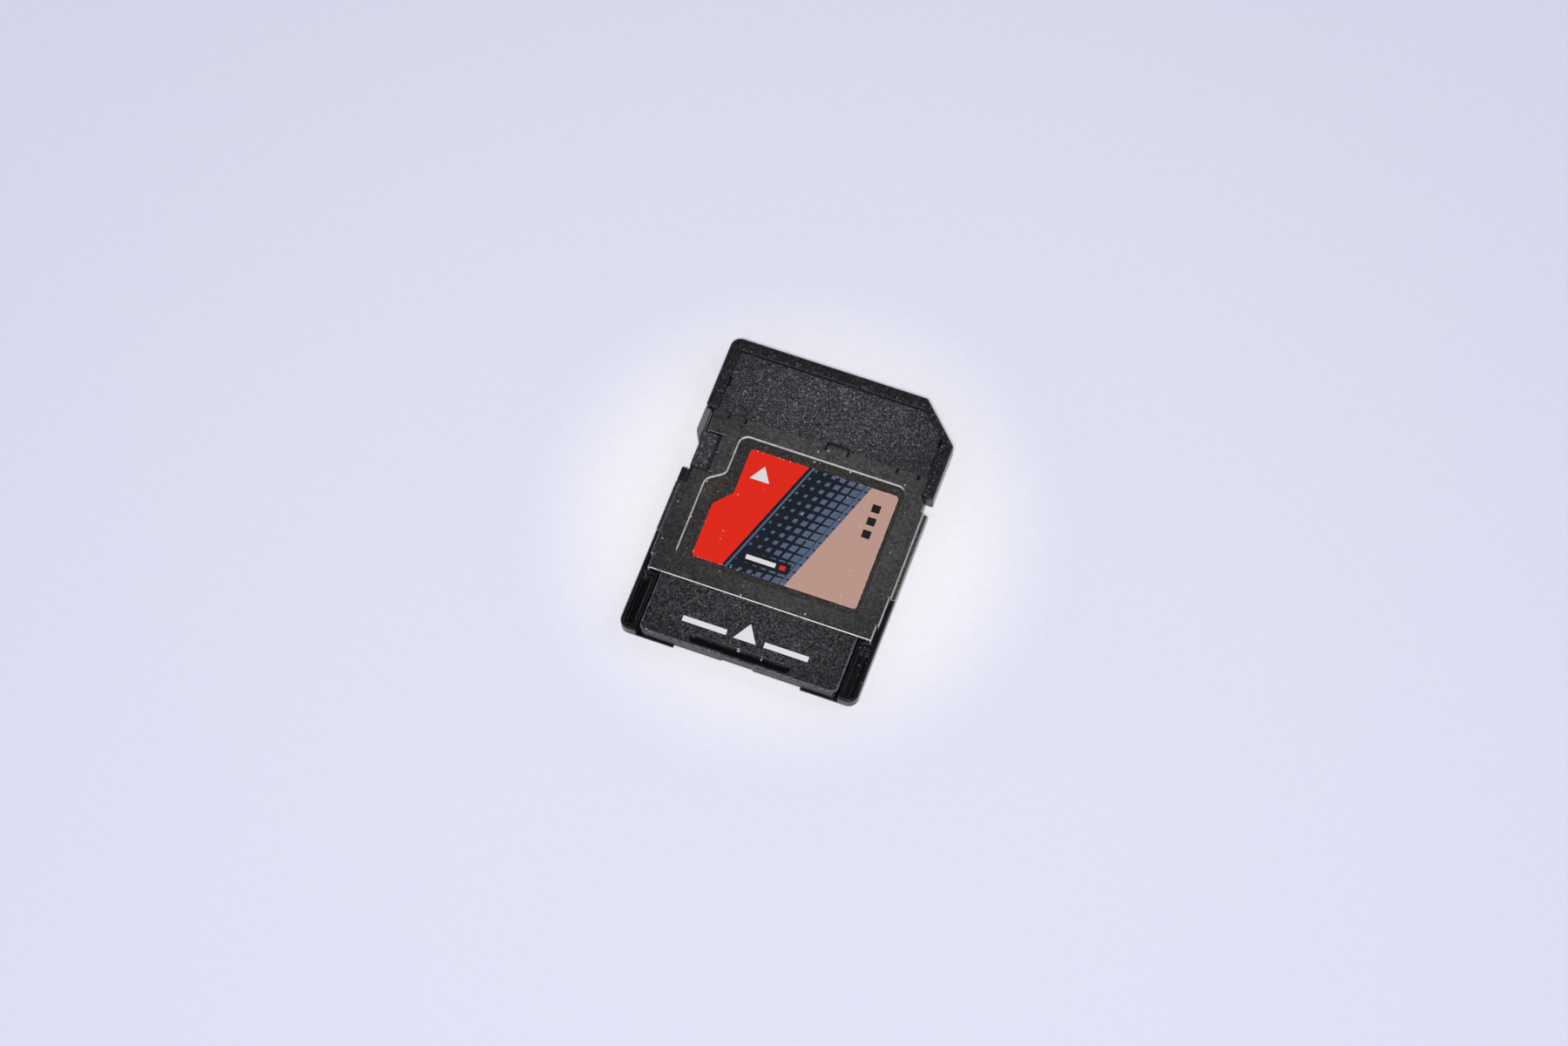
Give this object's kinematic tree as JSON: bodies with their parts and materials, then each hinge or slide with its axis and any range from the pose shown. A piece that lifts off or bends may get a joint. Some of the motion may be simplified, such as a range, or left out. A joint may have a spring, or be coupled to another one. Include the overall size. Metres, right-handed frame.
{
  "type": "memory card adapter",
  "caption": "Flat adapter that takes a smaller memory card at the rear and carries its contacts to the front, with a sliding write lock.",
  "frame": {"origin": "on the underside plane, under the middle of the body's 24 x 32 mm outline", "axes": "+Y towards the contact end, +Z out of the label side, +X to the right seen from the label side"},
  "size_m": [0.024, 0.032, 0.0021],
  "materials": {
    "black_plastic": "fine matte moulded, glossy in the rear arms",
    "grained_plastic": "sparkling spark-eroded grain",
    "dark_metal": "thin dark coat, bare bright at cut and embossed edges",
    "label_film": "printed film, satin",
    "grey_plastic": "light grey moulded, satin",
    "card_plastic": "sparkling spark-eroded grain",
    "gold_plate": "gold plated, polished",
    "board": "solder-resist green",
    "chip": "moulded resin, matte"
  },
  "bodies": {
    "adapter": {"base_frame": "black_plastic", "front_cover": "grained_plastic", "metal_cover": "dark_metal", "label": "label_film", "contact_carrier": "black_plastic", "contact_1": "gold_plate", "contact_2": "gold_plate", "contact_3": "gold_plate", "contact_4": "gold_plate", "contact_5": "gold_plate", "contact_6": "gold_plate", "contact_7": "gold_plate", "contact_8": "gold_plate", "contact_9": "gold_plate"},
    "lock": {"lock_slider": "grey_plastic"},
    "small_card": {"card_top_shell": "card_plastic", "card_bottom_shell": "card_plastic", "card_board": "board", "flash_chip": "chip", "controller_chip": "chip", "card_pad_1": "gold_plate", "card_pad_2": "gold_plate", "card_pad_3": "gold_plate", "card_pad_4": "gold_plate", "card_pad_5": "gold_plate", "card_pad_6": "gold_plate", "card_pad_7": "gold_plate", "card_pad_8": "gold_plate", "card_pad_9": "gold_plate", "card_pad_10": "gold_plate", "card_pad_11": "gold_plate"}
  },
  "joints": [
    {"name": "card_slide", "type": "slide", "parent": "adapter", "child": "small_card", "axis": [0, -1, 0], "range_m": [0, 0.023]},
    {"name": "lock_slide", "type": "slide", "parent": "adapter", "child": "lock", "axis": [0, -1, 0], "range_m": [0, 0.0032]}
  ]
}
